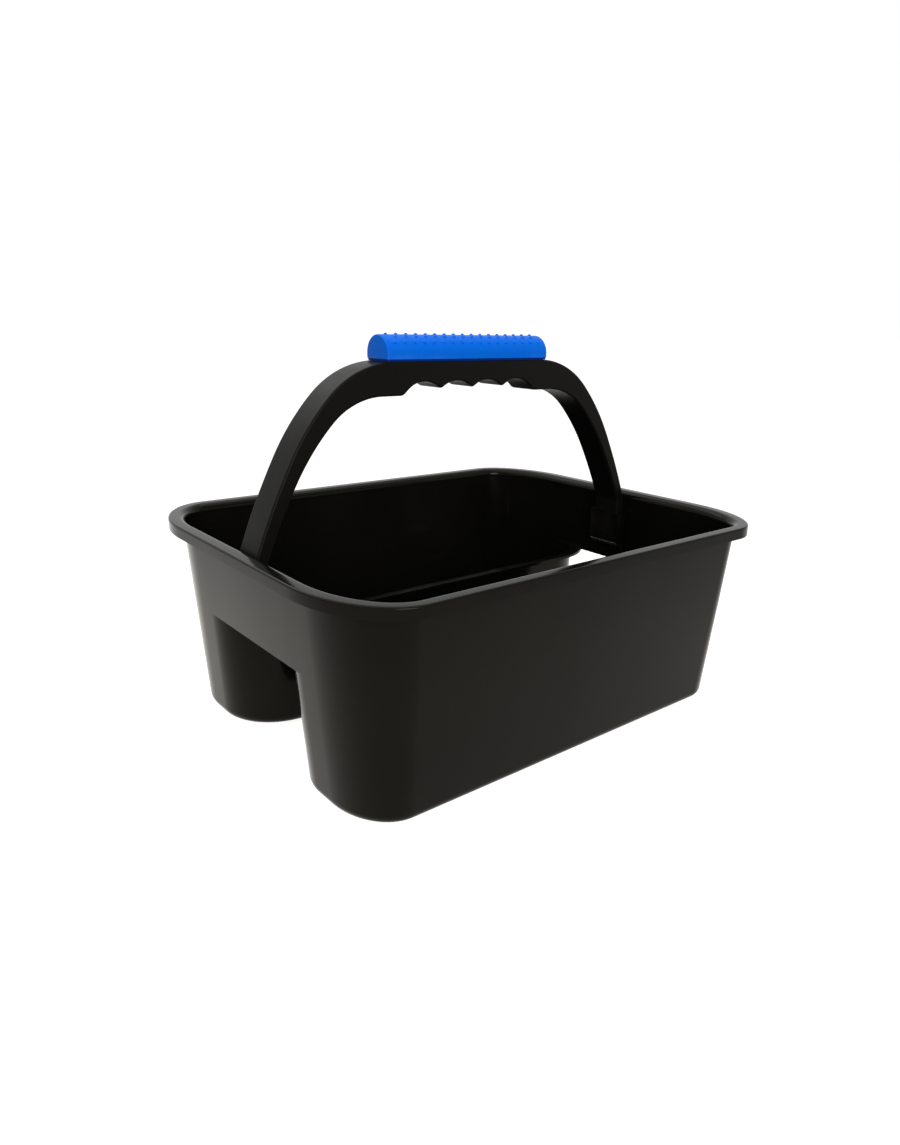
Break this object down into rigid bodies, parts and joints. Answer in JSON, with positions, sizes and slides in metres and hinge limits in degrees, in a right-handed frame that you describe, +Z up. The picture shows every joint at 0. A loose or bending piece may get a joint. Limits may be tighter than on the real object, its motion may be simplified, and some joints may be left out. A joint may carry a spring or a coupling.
{
  "type": "cleaning caddy",
  "caption": "Open carry caddy with two long troughs under a shared rim, a fixed arched handle with finger hollows and a dotted grip cover.",
  "frame": {"origin": "centre of the base, on the surface that the caddy stands on", "axes": "+X along the troughs and the handle, +Y across the two troughs, +Z up"},
  "size_m": [0.4, 0.336, 0.3],
  "materials": {
    "tray_plastic": "gloss, moulded",
    "handle_plastic": "satin, moulded",
    "grip_plastic": "semi-gloss, moulded"
  },
  "bodies": {
    "root": {"tray": "tray_plastic", "handle": "handle_plastic", "grip_cover": "grip_plastic"}
  },
  "joints": []
}
